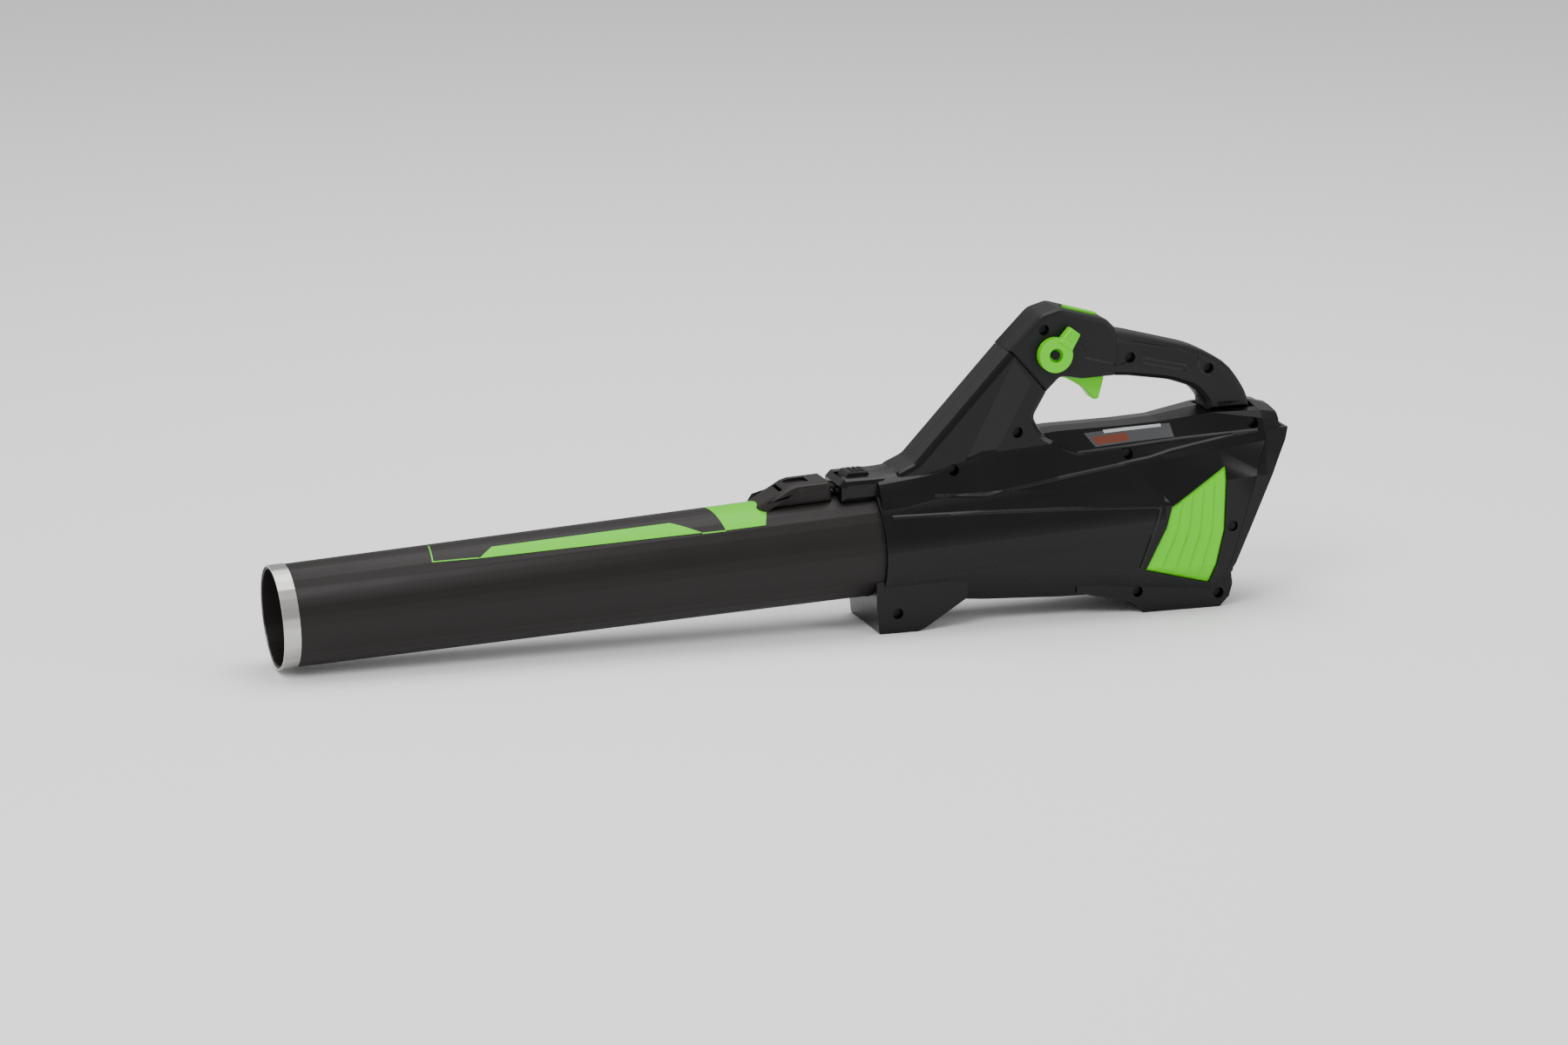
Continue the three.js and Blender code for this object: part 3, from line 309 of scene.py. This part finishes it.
for node_name, node in frame["nodes"].items():
    node.material_slots[0].material = FINISHES[SLOT_OF[node_name]]

# Nodes that are round about the airway.
ON_AIRWAY = ("blow_tube", "scraper_ring")
# The width of the rounds on each node, and the turn in degrees above which an edge is sharp.
ROUNDED = {
    "casing_left": (1.1, 14), "casing_right": (1.1, 14), "rear_cover": (0.8, 14),
    "handle_left": (0.7, 24), "handle_right": (0.7, 24),
    "speed_lever": (0.5, 28), "trigger": (0.5, 28),
    "turbo_button": (0.4, 28), "latch_button": (0.5, 28),
    "intake_grille_left": (0.25, 20), "intake_grille_right": (0.25, 20),
    "blow_tube": (0.5, 24), "scraper_ring": (0.3, 24),
}
for node_name, (width, crease) in ROUNDED.items():
    soft_edged(node_name, width, crease)


# ---------------------------------------------------------------- lines and films laid on the sides

# Rays that look for a side start this far from the middle, outside the widest piece.
RAY_START = 90.0
# A line's steps are about this long, with this many points across; its edges stand this proud.
LINE_STEP, LINE_ACROSS, LINE_EDGE = 1.5, 7, 0.02
# Points along and across a film, and how proud a film and the print on one stand.
FILM_ALONG, FILM_ACROSS = 40, 14
FILM_PROUD, PRINT_PROUD = 0.12, 0.2


def skin_of(node):
    """The surface of a CAD node, for finding points on it."""
    mesh = frame["nodes"][node].data
    return BVHTree.FromPolygons([v.co.copy() for v in mesh.vertices],
                                [list(f.vertices) for f in mesh.polygons])


def laid(skin, x, z, side, lift):
    """Points at x and z on that side of a skin, lift above it.

    Over a gap in the skin they take their neighbours' depth."""
    y = np.full(x.size, np.nan)
    for i, (px, pz) in enumerate(zip(x.ravel(), z.ravel())):
        start = Vector((px * MM, side * RAY_START * MM, pz * MM))
        hit = skin.ray_cast(start, Vector((0, -side, 0)))[0]
        y[i] = np.nan if hit is None else hit.y / MM
    known = ~np.isnan(y)
    y = np.interp(np.arange(y.size), np.flatnonzero(known), y[known])
    return np.stack([x, y.reshape(x.shape) + side * lift, z], -1)


def line_on_side(name, skin, route, side, width, lift, slot_name, body, material):
    """A raised line along a route of (x, z); across it the height is lift times a squared cosine."""
    corner = np.array(route, float)
    length = np.concatenate([[0], np.cumsum(np.linalg.norm(np.diff(corner, axis=0), axis=1))])
    t = np.linspace(0, length[-1], max(4, int(length[-1] / LINE_STEP)))
    path = np.stack([np.interp(t, length, corner[:, k]) for k in (0, 1)], 1)
    ahead = np.gradient(path, axis=0)
    across = np.stack([-ahead[:, 1], ahead[:, 0]], 1) / np.linalg.norm(ahead, axis=1)[:, None]
    share = np.linspace(-0.5, 0.5, LINE_ACROSS)
    spot = path[:, None, :] + share[None, :, None] * width * across[:, None, :]
    proud = LINE_EDGE + lift * np.cos(math.pi * share) ** 2
    points = laid(skin, spot[..., 0], spot[..., 1], side, proud)
    outward_piece(name, points, side, slot_name, body, material)


def ruled(low, high, along, across):
    """A grid of points between two edges of points, each edge shared out evenly by its corners."""
    u = np.linspace(0, 1, along)
    edge = []
    for corners in (np.array(low, float), np.array(high, float)):
        share = np.linspace(0, 1, len(corners))
        edge.append(np.stack([np.interp(u, share, corners[:, k]) for k in (0, 1)], 1))
    v = np.linspace(0, 1, across)[None, :, None]
    return edge[0][:, None, :] * (1 - v) + edge[1][:, None, :] * v


def film_on_side(name, skin, low, high, side, lift, slot_name, body, material):
    """A film lift proud of a side, ruled between two edges given as (x, z) points."""
    spot = ruled(low, high, FILM_ALONG, FILM_ACROSS)
    points = laid(skin, spot[..., 0], spot[..., 1], side, lift)
    outward_piece(name, points, side, slot_name, body, material)


def outward_piece(name, points, side, slot_name, body, material):
    """A piece from a grid of points on a side, with its faces turned away from the middle."""
    faces = grid_faces(*points.shape[:2])
    piece(name, points.reshape(-1, 3), faces if side < 0 else faces[:, ::-1], slot_name, body, material)


# Lines on the grip and creases on the casing as (x, z), with their width and height. The grip lines are
# drawn in dark ink as painted shade where the grip's grooves are.
GRIP_WIDTH, GRIP_HEIGHT = 1.8, 0.5
GRIP_LINES = {
    "grip_line_top": [(315, 241), (367, 230), (378, 224), (379, 212), (389, 205)],
    "grip_line_nose": [(267, 242), (272, 230), (304, 221), (312, 223)],
    "grip_line_pad": [(326, 226), (367, 216), (366, 211.5), (327, 221), (326, 226)],
}
CREASE_WIDTH, CREASE_HEIGHT = 3.4, 1.0
CASING_LINES = {
    "shoulder_crease": [(128, 119.5), (152, 118), (174, 117), (229, 126), (287, 134.8), (325, 140.2),
                        (346, 145), (427, 159)],
    "deck_crease": [(246, 153), (261, 147), (311, 149.7), (362, 154), (427, 158.5)],
    "barrel_crease": [(87, 105), (163, 104.7), (242, 103), (331, 99.5), (323, 72), (313, 45)],
}
# Films on the casing: two edges as (x, z), the material and how proud the film stands.
CASING_FILMS = {
    "pillar_panel":
        ([(157, 141), (203.5, 233)], [(179, 135), (220, 211.5)], BLACK_PRINT_AND_GROOVE_SHADE, FILM_PROUD),
    "deck_label":
        ([(279, 151), (352, 155.5)], [(271, 162), (351, 166)], LABEL, FILM_PROUD),
    "deck_label_pale":
        ([(290, 161), (343, 163.5)], [(289, 163.5), (343, 165.7)], PALE_PRINT, PRINT_PROUD),
    "deck_label_rust":
        ([(281, 152.5), (312, 154.5)], [(277, 158.5), (310, 160.5)], RUST_PRINT, PRINT_PROUD),
}
# The grille's front and rear edge as (x, z) from bottom to top.
GRILLE_FRONT = np.array([(319.5, 43), (336.5, 78), (341.5, 97)])
GRILLE_REAR = np.array([(381, 26), (392, 73), (392.5, 128)])
SLATS = 5
# A slat rises across itself to a lip, drops at once, and fades out in its last two steps at each end.
SLAT_LOW, SLAT_LIP, SLAT_END = 0.1, 1.9, 0.05
slat_across = np.append(np.linspace(SLAT_LOW, SLAT_LIP, FILM_ACROSS - 1), SLAT_LOW)
from_front = np.arange(FILM_ALONG)
slat_along = np.clip(np.minimum(from_front, from_front[::-1]) / 2, SLAT_END, 1)
slat_height = slat_along[:, None] * slat_across

LEFT, RIGHT = -1, 1
for side, word in ((LEFT, "left"), (RIGHT, "right")):
    handle = skin_of("handle_" + word)
    # The grip lines are painted shade: raised strips of dark ink laid where the grip's grooves are
    # shaded.
    for line, route in GRIP_LINES.items():
        line_on_side(f"{line}_{word}", handle, route, side, GRIP_WIDTH, GRIP_HEIGHT,
                     "handle_matte", "casing", BLACK_PRINT_AND_GROOVE_SHADE)
    casing = skin_of("casing_" + word)
    for line, route in CASING_LINES.items():
        line_on_side(f"{line}_{word}", casing, route, side, CREASE_WIDTH, CREASE_HEIGHT,
                     "casing_gloss", "casing", None)
    for film, (low, high, material, proud) in CASING_FILMS.items():
        film_on_side(f"{film}_{word}", casing, low, high, side, proud,
                     "casing_gloss", "casing", material)
    grille = skin_of("intake_grille_" + word)
    for k in range(SLATS):
        low, high = [GRILLE_FRONT + (GRILLE_REAR - GRILLE_FRONT) * (k + j) / SLATS for j in (0, 1)]
        film_on_side(f"grille_slat_{k}_{word}", grille, low, high, side, slat_height,
                     "green_plastic", "casing", None)

# Ribs on the lever's tab: the first one's middle, the way they follow each other and the way they lie.
RIB_START = np.array([252.0, 249.5])
RIB_AHEAD, RIB_ACROSS = np.array([0.64, 0.77]), np.array([-0.77, 0.64])
RIBS, RIB_PITCH, RIB_HALF, RIB_WIDTH, RIB_HEIGHT = 5, 2.2, 3.6, 1.1, 0.5
lever = skin_of("speed_lever")
for k in range(RIBS):
    middle = RIB_START + k * RIB_PITCH * RIB_AHEAD
    ends = [middle - RIB_HALF * RIB_ACROSS, middle + RIB_HALF * RIB_ACROSS]
    line_on_side(f"lever_rib_{k}", lever, ends, LEFT, RIB_WIDTH, RIB_HEIGHT,
                 "green_plastic", "speed_lever", None)


# ---------------------------------------------------------------- plain green shapes on the tube

# How proud a print stands, and its points along and across.
TUBE_PRINT_PROUD, TUBE_PRINT_ALONG, TUBE_PRINT_ACROSS = 0.15, 24, 12
# Two edges of each print as (s, degrees up from the left side).
TUBE_PRINTS = {
    "stripe": ([(176, 53), (373, 48)], [(190, 68), (348, 68)]),
    "stripe_line": ([(135, 56), (176, 53)], [(135, 57.4), (176, 54.4)]),
    "stripe_riser": ([(135, 56), (138, 90)], [(136.2, 56), (139.2, 90)]),
    "stripe_tail": ([(373, 46.4), (394, 46)], [(373, 48), (394, 47.4)]),
    "end_block": ([(394, 47), (430, 47)], [(386, 100), (444, 100)]),
}

for name, (low, high) in TUBE_PRINTS.items():
    spot = ruled(low, high, TUBE_PRINT_ALONG, TUBE_PRINT_ACROSS)
    points = on_airway(spot[..., 0], tube_radius(spot[..., 0]) + TUBE_PRINT_PROUD,
                       np.radians(spot[..., 1]))
    piece(name, points.reshape(-1, 3), grid_faces(TUBE_PRINT_ALONG, TUBE_PRINT_ACROSS),
          "green_plastic", "tube")


# ---------------------------------------------------------------- springs

# Steps in a coil's turn, and points round its wire.
TURN_STEPS, WIRE_SIDES = 24, 8


def coil(node, base, top, radius, wire, turns):
    """A round wire wound evenly about the line from base to top.

    The wire's centre climbs the line as it goes round at that radius, and wire is its own radius."""
    base, top = np.array(base, float), np.array(top, float)
    length = np.linalg.norm(top - base)
    axis = (top - base) / length
    first = np.array([0.0, 1.0, 0.0])
    second = np.cross(axis, first)
    t = np.linspace(0, 1, TURN_STEPS * turns + 1)[:, None]
    out = np.cos(2 * math.pi * turns * t) * first + np.sin(2 * math.pi * turns * t) * second
    centre = base + (wire + t * (length - 2 * wire)) * axis + radius * out
    phi = np.linspace(0, 2 * math.pi, WIRE_SIDES, endpoint=False)[None, :, None]
    points = centre[:, None, :] + wire * (np.cos(phi) * out[:, None, :] + np.sin(phi) * axis)
    # Three quads close the eight points of each end.
    cap = np.array([(0, 1, 2, 7), (7, 2, 3, 6), (6, 3, 4, 5)])
    last = (len(t) - 1) * WIRE_SIDES
    sides = grid_faces(len(t), WIRE_SIDES, closed=True)[:, ::-1]
    faces = np.concatenate([sides, cap, cap[:, ::-1] + last])
    obj = piece(node + "_coil", points.reshape(-1, 3), faces, SLOT_OF[node], BODY_OF[node])
    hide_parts(node)
    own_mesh(obj)


# The turbo button leans back; its spring stands between these depths below the button's seat.
TURBO_LEAN = math.radians(15.5)
TURBO_SEAT = np.array([272.1, 0.0, 268.2])
TURBO_FOOT, TURBO_HEAD = 10.8, 4.3
turbo_out = np.array([math.sin(TURBO_LEAN), 0.0, math.cos(TURBO_LEAN)])
turbo_low, turbo_high = TURBO_SEAT - TURBO_FOOT * turbo_out, TURBO_SEAT - TURBO_HEAD * turbo_out
# The foot and head of the other two, which stand upright.
TRIGGER_LOW, TRIGGER_HIGH = (278.1, 0, 228), (278.1, 0, 234.9)
LATCH_LOW, LATCH_HIGH = (72.7, 0, 125.2), (72.7, 0, 130.5)
coil("turbo_spring", turbo_low, turbo_high,
     radius=6.5, wire=0.3, turns=5)
coil("trigger_spring", TRIGGER_LOW, TRIGGER_HIGH,
     radius=2.7, wire=0.4, turns=5)
coil("latch_spring", LATCH_LOW, LATCH_HIGH,
     radius=2.1, wire=0.35, turns=4)


# ---------------------------------------------------------------- stage

FLOOR_HALF = 15000.0


def floor():
    """A flat white sheet, FLOOR_HALF each way, so that it fills the view from every side."""
    ends = (-FLOOR_HALF, FLOOR_HALF)
    points = np.array([(x, y, 0) for y in ends for x in ends]) * MM
    mesh = bpy.data.meshes.new("floor")
    mesh.from_pydata(points.tolist(), [], [(0, 1, 3, 2)])
    obj = bpy.data.objects.new("floor", mesh)
    bpy.context.scene.collection.objects.link(obj)
    # Seamless paper: plain white and dull.
    paper = bpy.data.materials.new("Seamless_paper")
    paper.use_nodes = True
    shader = paper.node_tree.nodes["Principled BSDF"]
    shader.inputs["Base Color"].default_value = linear("#ffffff")
    shader.inputs["Roughness"].default_value = 0.8
    mesh.materials.append(paper)


def soft_light(name, place, aim, size, watts):
    """A square area light at place, facing aim, with all of them in metres."""
    data = bpy.data.lights.new(name, "AREA")
    data.shape = "SQUARE"
    data.size = size
    data.energy = watts
    lamp = bpy.data.objects.new(name, data)
    lamp.location = place
    lamp.rotation_euler = (Vector(aim) - Vector(place)).to_track_quat("-Z", "Y").to_euler()
    bpy.context.scene.collection.objects.link(lamp)


# What the camera looks at and how far away it stands, in metres, and the way it looks.
CAMERA_TARGET = Vector((-0.0058, -0.0229, 0.103))
CAMERA_AWAY = 4.9
CAMERA_TURN, CAMERA_DOWN = math.radians(17.56), math.radians(14.15)


def camera():
    """A 130 mm lens, turned towards the nozzle's side and looking slightly down."""
    turn, down = CAMERA_TURN, CAMERA_DOWN
    ahead = Vector((math.sin(turn) * math.cos(down), math.cos(turn) * math.cos(down), -math.sin(down)))
    data = bpy.data.cameras.new("camera")
    data.lens = 130
    data.sensor_width = 36
    data.clip_end = 100
    obj = bpy.data.objects.new("camera", data)
    obj.location = CAMERA_TARGET - CAMERA_AWAY * ahead
    obj.rotation_euler = ahead.to_track_quat("-Z", "Y").to_euler()
    bpy.context.scene.collection.objects.link(obj)
    bpy.context.scene.camera = obj


def room(strength):
    """Even white light from all round."""
    world = bpy.data.worlds.new("room")
    world.use_nodes = True
    background = world.node_tree.nodes["Background"]
    background.inputs["Color"].default_value = linear("#ffffff")
    background.inputs["Strength"].default_value = strength
    bpy.context.scene.world = world


floor()
soft_light("key", (-1.6, -1.8, 2.6), (0, 0, 0.1), size=1.5, watts=62)
soft_light("top", (0.3, 0.6, 3.0), (0, 0, 0.1), size=2.6, watts=80)
soft_light("side", (2.4, -2.2, 1.4), (0.1, 0, 0.1), size=1.2, watts=24)
room(strength=0.55)
camera()
